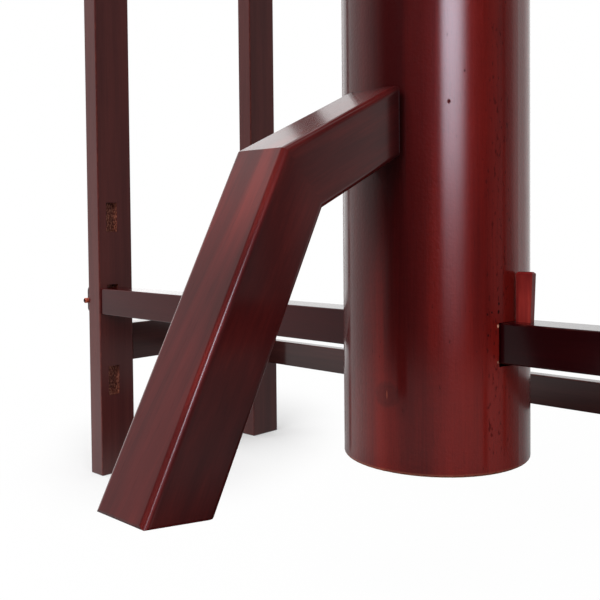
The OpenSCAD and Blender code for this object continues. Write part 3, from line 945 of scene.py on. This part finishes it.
@dataclass
class Stand:
    """The free-standing frame: uprights, rails, their pegs and the rough spare mortises."""

    peg_ring: float = 0.02
    peg_shades: tuple[Shade, Shade] = ((70, 30, 26), (150, 80, 60))
    mortise_width: float = 0.0223
    mortise_height: float = 0.051
    mortise_middle_y: float = 0.02315
    mortise_bottoms: tuple[float, ...] = (0.140, 0.426, 1.217, 1.503)
    head_bottoms: tuple[float, ...] = (0.3282, 1.4052)
    head_height: float = 0.0057
    wall_gap: float = 0.00015
    wall_chop: float = 0.0007
    head_chop: float = 0.0003
    facet: Pair = (0.0061, 0.0083)
    facet_seed: Triple = (12.9898, 41.0, 43758.5453)
    ridge_rates: Four = (2100.0, 640.0, 310.0, 930.0)
    ridge_share: float = 0.65
    mouth_gap: float = 0.0006
    round_count: int = 148
    deep_count: int = 44

    def dress(self) -> None:
        """Stains the frame's timbers and builds the walls of the spare mortises."""
        for side in ("right", "left"):
            for place in ("front", "rear"):
                dress_timber(f"{place}_upright_{side}", FRAME_RED, Run.UPRIGHT)
            for level in ("lower", "upper"):
                dress_timber(f"{level}_side_rail_{side}", RAIL_BROWN, Run.DEEP)
            self.dress_pegs(f"side_rail_pegs_{side}", Run.ACROSS)
            self.build_walls(side)
        for level in ("lower", "upper"):
            dress_timber(f"{level}_rear_rail", RAIL_BROWN, Run.ACROSS)
        self.dress_pegs("rear_rail_pegs", Run.DEEP)

    def dress_pegs(self, name: str, run: Run) -> None:
        """Stains a group of pegs, whose sawn ends show."""
        ends = EndGrain(run.value, middle_of(name), self.peg_ring, *self.peg_shades)
        dress_straight(name, PEG_RED, run.value, ends)

    def wall_tube(self, across: np.ndarray, bottom: float, height: float, chop: float) -> np.ndarray:
        """Works out the rough wall of one mortise.

        The wall is a tube: u walks round the mortise's rectangle and x runs across the upright. Each
        point lies on the rectangle, pulled inwards by a small gap and by the chop, a product of two
        slanting ridges whose strength changes from one chisel facet to the next.

        Args:
            across: Places across the upright.
            bottom: Height of the mortise's floor.
            height: Height of the mortise.
            chop: Depth of the chisel marks.

        Returns:
            One row of x, y and z per point.
        """
        half_y, half_z = self.mortise_width / 2.0, height / 2.0
        corners = np.cumsum([0.0, 2.0 * half_y, 2.0 * half_z, 2.0 * half_y, 2.0 * half_z])
        walk = np.linspace(0.0, corners[-1], self.round_count, endpoint=False)
        u, x = np.meshgrid(walk, across, indexing="ij")
        y = np.interp(u, corners, [-half_y, half_y, half_y, -half_y, -half_y])
        z = np.interp(u, corners, [-half_z, -half_z, half_z, half_z, -half_z])
        facet = np.floor(u / self.facet[0]) + 3.0 * np.floor(x / self.facet[1])
        first, second, spread = self.facet_seed
        strength = np.modf(np.abs(np.sin(facet * first + bottom * second) * spread))[0]
        u_up, x_up, u_down, x_down = self.ridge_rates
        ridges = np.abs(np.sin(u * u_up + x * x_up + bottom)) * np.abs(np.sin(x * x_down - u * u_down))
        pull = self.wall_gap + chop * strength * (1.0 - self.ridge_share + self.ridge_share * ridges)
        on_side, on_flat = np.abs(y) > half_y - 1e-9, np.abs(z) > half_z - 1e-9
        y -= np.sign(y) * np.where(on_side, pull, np.abs(y) * self.wall_gap / half_y)
        z -= np.sign(z) * np.where(on_flat, pull, np.abs(z) * self.wall_gap / half_z)
        return np.stack([x, y + self.mortise_middle_y, z + bottom + half_z], axis=-1).reshape(-1, 3)

    def build_walls(self, side: str) -> None:
        """Builds the rough walls inside an upright's mortises and lets them ride on the frame.

        Args:
            side: Which front upright, right or left.
        """
        low, high = box_of(f"front_upright_{side}")
        across = np.linspace(low[0] + self.mouth_gap, high[0] - self.mouth_gap, self.deep_count)
        kinds = (
            (self.mortise_bottoms, self.mortise_height, self.wall_chop),
            (self.head_bottoms, self.head_height, self.head_chop),
        )
        tubes = [self.wall_tube(across, low_z, tall, chop) for bottoms, tall, chop in kinds for low_z in bottoms]
        ring = grid_faces(self.round_count, self.deep_count, closed=True)
        faces = [ring + count * self.round_count * self.deep_count for count in range(len(tubes))]
        piece = new_piece(f"mortise_walls_{side}", np.concatenate(tubes), np.concatenate(faces))
        grain = Grain(middle_of(f"front_upright_{side}"), Run.UPRIGHT.value)
        piece.data.materials.append(mix_wood(RAW_BROWN, grain, f"mortise_walls_{side}_raw"))
        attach(piece, "frame")
        log.info("built %s", piece.name)


def grid_faces(rows: int, columns: int, closed: bool) -> np.ndarray:
    """Numbers the four-sided faces between neighbouring points of a grid.

    Args:
        rows: How many rows of points.
        columns: How many points in a row.
        closed: Whether the last row is joined to the first.

    Returns:
        One row of four point numbers per face.
    """
    row, column = np.meshgrid(np.arange(rows - (not closed)), np.arange(columns - 1), indexing="ij")
    here, after = row * columns + column, (row + 1) % rows * columns + column
    return np.stack([here, here + 1, after + 1, after], axis=-1).reshape(-1, 4)


def new_piece(name: str, verts: np.ndarray, faces: np.ndarray) -> bpy.types.Object:
    """Makes an object of a mesh worked out as whole arrays.

    Args:
        name: Name of the piece.
        verts: One row of x, y and z per point, in metres.
        faces: One row of point numbers per face.

    Returns:
        The new object, at the origin, with flat faces.
    """
    mesh = bpy.data.meshes.new(name)
    mesh.from_pydata(verts.tolist(), [], faces.tolist())
    mesh.update()
    piece = bpy.data.objects.new(name, mesh)
    bpy.context.scene.collection.objects.link(piece)
    return piece


# Light behind the object, by azimuth, that the world and the far floor share
BEHIND_ROWS: Rows = (
    (4, 0.0), (12, 0.1), (24, 0.22), (36, 0.25), (44, 0.26), (48, 0.34), (52, 0.62), (57, 0.95), (64, 1.02),
    (72, 0.8), (80, 0.68), (92, 0.7), (107, 0.98), (125, 1.15),
)


@dataclass
class Lamp:
    """One flat studio lamp that looks at a point."""

    name: str
    place: Triple
    aim: Triple
    width: float
    height: float
    watts: float

    def hang(self) -> None:
        """Adds the lamp, out of sight of the camera and the lacquer."""
        data = bpy.data.lights.new(self.name, "AREA")
        data.shape, data.size, data.size_y, data.energy = "RECTANGLE", self.width, self.height, self.watts
        lamp = bpy.data.objects.new(self.name, data)
        bpy.context.scene.collection.objects.link(lamp)
        look = (Vector(self.aim) - Vector(self.place)).to_track_quat("-Z", "Y").to_matrix().to_4x4()
        lamp.matrix_world = Matrix.Translation(self.place) @ look
        lamp.visible_camera = lamp.visible_glossy = False


@dataclass
class Studio:
    """White floor and surround, soft lamps and the camera."""

    eye: Triple = (0.5640, -0.7991, 0.4387)
    yaw: float = 0.7598
    pitch: float = 0.0304
    roll: float = -0.00938
    sensor: float = 36.0
    clip: Pair = (0.02, 60.0)
    lens: float = 49.59
    shift_y: float = -0.0868
    floor_half: float = 14.0
    ambient: float = 0.12
    paper: float = 0.9
    bounce: float = 0.38
    glow: float = 0.98
    # Painted shadow by the left feet: glow share at its middle, then its centre, turn, radii and reach.
    dusk: float = 0.18
    dusk_place: Triple = (-0.8, 0.31, 0.0)
    dusk_turn: float = 37.3
    dusk_radii: Triple = (0.275, 0.494, 1.0)
    dusk_reach: Pair = (0.28, 1.2)
    shade_from: Pair = (0.35, 0.75)
    white_from: Pair = (0.8, 1.7)
    far_from: Pair = (1.3, 2.1)
    panel_away: float = 2.0
    panel_steps: int = 25
    panel_light: float = 18.8
    panel_tint: Triple = (0.79, 0.85, 1.0)
    panel_azimuths: Pair = (-58.0, -6.0)
    panel_heights: Pair = (0.0, 1.6)
    panel_across: Rows = (
        (-51, 0.0), (-49, 0.12), (-46.5, 0.5), (-44, 0.85), (-40, 1.0), (-34, 1.0), (-29, 0.86), (-25.5, 0.6),
        (-22, 0.3), (-18, 0.06), (-14, 0.0),
    )
    panel_up: Rows = (
        (0.0, 0.02), (0.08, 0.034), (0.213, 0.066), (0.348, 0.115), (0.516, 0.235), (0.684, 0.52), (0.953, 0.84),
        (1.12, 1.0), (1.3, 0.95), (1.42, 0.6), (1.52, 0.2), (1.6, 0.0),
    )
    panel_shown: tuple[str, ...] = ("trunk", "leg", "upper_arm_right", "upper_arm_left", "middle_arm")
    mirror_rows: Rows = (
        (-180, 0.85), (-165, 0.8), (-157, 0.78), (-146, 0.66), (-136, 0.52), (-128, 0.28), (-121, 0.08), (-116, 0.0),
        *BEHIND_ROWS, (136, 1.12), (140, 1.34), (144, 1.5), (150, 1.3), (160, 1.0), (180, 0.85),
    )
    high_rows: Rows = ((-180, 0.0), (-172, 0.46), (-150, 0.54), (-140, 0.34), (-126, 0.0), (180, 0.0))
    high_from: Pair = (0.52, 0.63)
    far_rows: Rows = (
        (-180, 0.85), (-165, 0.8), (-157, 0.78), (-146, 0.68), (-136, 0.6), (-128, 0.5), (-121, 0.34), (-116, 0.32),
        (-111, 0.06), (-107, 0.0), *BEHIND_ROWS, (160, 1.0), (180, 0.85),
    )
    floor_rows: Rows = (
        (-180, 0.75), (-165, 0.92), (-150, 0.95), (-135, 0.8), (-122, 0.6), (-110, 0.44), (8, 0.42), (25, 0.3),
        (40, 0.15), (55, 0.35), (80, 0.5), (110, 0.4), (150, 0.45), (166, 0.5), (180, 0.7),
    )

    def build(self) -> None:
        """Sets the view, the surround, the floor, the lights and the camera."""
        bpy.context.scene.view_settings.view_transform = "Standard"
        self.surround()
        self.floor()
        self.panel()
        self.lamps()
        self.camera()

    def surround(self) -> None:
        """Makes the world white to the camera, mirrored as the studio is, and even as fill light.

        The studio that the lacquer mirrors is white behind, with a white wall on the left that is
        brighter higher up, and dark round the camera.
        """
        world = bpy.data.worlds.new("surround")
        bpy.context.scene.world = world
        mixer = Mixer(world)
        ray = mixer.add("LightPath").outputs
        around = mixer.add("TexCoord").outputs["Generated"]
        azimuth = mixer.azimuth(around)
        above = mixer.rise(mixer.split(around)[2], *self.high_from)
        mirrored = mixer.grey_ramp(azimuth, self.mirror_rows)
        mirrored = mixer.blend(above, mirrored, mixer.grey_ramp(azimuth, self.high_rows), "ADD")
        seen = mixer.blend(ray["Is Glossy Ray"], grey(self.ambient), mirrored)
        shader = mixer.add("Background", mixer.blend(ray["Is Camera Ray"], seen, grey(1.0)))
        mixer.show(shader, "OutputWorld")

    def floor(self) -> None:
        """Lays a pale floor, with a painted shadow at the left feet and white further off, with its own mirror
        image.
        """
        side = self.floor_half
        verts = np.array([[-side, -side, 0.0], [side, -side, 0.0], [side, side, 0.0], [-side, side, 0.0]])
        floor = new_piece("floor", verts, np.array([[0, 1, 2, 3]]))
        mixer = Mixer(bpy.data.materials.new("floor_paper"))
        ray = mixer.add("LightPath").outputs
        coords = mixer.add("TexCoord").outputs["Object"]
        away = mixer.vector("LENGTH", coords)
        paper = mixer.blend(ray["Is Camera Ray"], grey(self.bounce), grey(self.paper))
        matte = mixer.add("BsdfDiffuse", paper)
        # Painted shadow: in a soft ellipse by the left feet less white glow covers the matte floor, so it turns
        # grey; the lamps' own shadows show through it.
        aside = mixer.seat(coords, self.dusk_place, (0.0, 0.0, math.radians(self.dusk_turn)))
        aside = mixer.vector("DIVIDE", aside, self.dusk_radii)
        near = mixer.rise(mixer.vector("LENGTH", aside), *self.dusk_reach, (self.dusk, self.glow))
        white = mixer.blend(mixer.rise(away, *self.white_from), near, grey(1.0))
        far = mixer.rise(away, *self.far_from)
        # Painted shadow in the floor's mirror image: what the lacquer sees of the floor is dark close under the
        # object.
        under = mixer.rise(away, *self.shade_from)
        azimuth = mixer.azimuth(coords)
        lit = mixer.blend(under, grey(0.0), mixer.grey_ramp(azimuth, self.floor_rows))
        mirrored = mixer.blend(far, lit, mixer.grey_ramp(azimuth, self.far_rows))
        shiny = ray["Is Glossy Ray"]
        glow = mixer.add("Emission", mixer.blend(shiny, grey(1.0), mirrored))
        share = mixer.maths("ADD", mixer.times(ray["Is Camera Ray"], white), shiny, clamp=True)
        mixer.show(mixer.add("MixShader", share, matte.outputs[0], glow.outputs[0]))
        floor.data.materials.append(mixer.owner)

    def panel(self) -> None:
        """Hangs the bent light panel that streaks the lacquer of the log and limbs, and only theirs.

        The panel is a piece of an upright cylinder round the log's axis: x and y go round a circle
        with the azimuth, z goes up. Its light falls off softly to its edges and towards its foot.
        """
        axis = Vector(middle_of("trunk")[:2] + (0.0,))
        around = np.radians(np.linspace(*self.panel_azimuths, self.panel_steps))
        turn, z = np.meshgrid(around, self.panel_heights, indexing="ij")
        x, y = axis.x + self.panel_away * np.cos(turn), axis.y + self.panel_away * np.sin(turn)
        faces = grid_faces(self.panel_steps, len(self.panel_heights), closed=False)
        panel = new_piece("light_panel", np.stack([x, y, z], axis=-1).reshape(-1, 3), faces)
        mixer = Mixer(bpy.data.materials.new("light_panel_glow"))
        coords = mixer.add("TexCoord").outputs["Object"]
        azimuth = mixer.azimuth(mixer.vector("SUBTRACT", coords, tuple(axis)))
        across = mixer.grey_ramp(azimuth, self.panel_across)
        upwards = mixer.grey_ramp(mixer.split(coords)[2], self.panel_up)
        shape = mixer.blend(1.0, across, upwards, "MULTIPLY")
        tinted = mixer.blend(1.0, shape, self.panel_tint + (1.0,), "MULTIPLY")
        mixer.show(mixer.add("Emission", tinted, self.panel_light))
        panel.data.materials.append(mixer.owner)
        panel.visible_camera = panel.visible_diffuse = panel.visible_shadow = False
        shown = bpy.data.collections.new("light_panel_shown")
        for node in self.panel_shown:
            shown.objects.link(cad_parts[node])
        panel.light_linking.receiver_collection = shown

    def lamps(self) -> None:
        """Hangs the soft lamps that fill."""
        Lamp("key_fill", (0.12, -3.0, 2.3), (0.0, 0.0, 0.5), 2.4, 2.0, 105.0).hang()
        Lamp("left_fill", (-2.8, -1.2, 1.6), (0.0, 0.0, 0.6), 1.6, 1.8, 26.0).hang()
        Lamp("right_fill", (1.7, -0.75, 2.3), (0.0, 0.0, 0.5), 1.0, 1.0, 15.0).hang()
        Lamp("top_fill", (0.0, 0.3, 3.4), (0.0, 0.2, 0.0), 2.6, 2.6, 56.0).hang()

    def camera(self) -> None:
        """Sets the camera where the measured edges put it."""
        data = bpy.data.cameras.new("camera")
        data.sensor_width, data.lens, data.shift_y = self.sensor, self.lens, self.shift_y
        data.clip_start, data.clip_end = self.clip
        camera = bpy.data.objects.new("camera", data)
        bpy.context.scene.collection.objects.link(camera)
        tilt = Matrix.Rotation(math.pi / 2.0 - self.pitch, 4, "X") @ Matrix.Rotation(self.roll, 4, "Z")
        camera.matrix_world = Matrix.Translation(self.eye) @ Matrix.Rotation(self.yaw, 4, "Z") @ tilt
        bpy.context.scene.camera = camera


def main() -> None:
    """Builds the studio and dresses every part in order."""
    logging.basicConfig(level=logging.INFO)
    Studio().build()
    for part in (Trunk(), Leg(), Arms(), Slats(), Stand()):
        part.dress()
        log.info("finished %s", type(part).__name__)


if __name__ == "__main__":
    main()
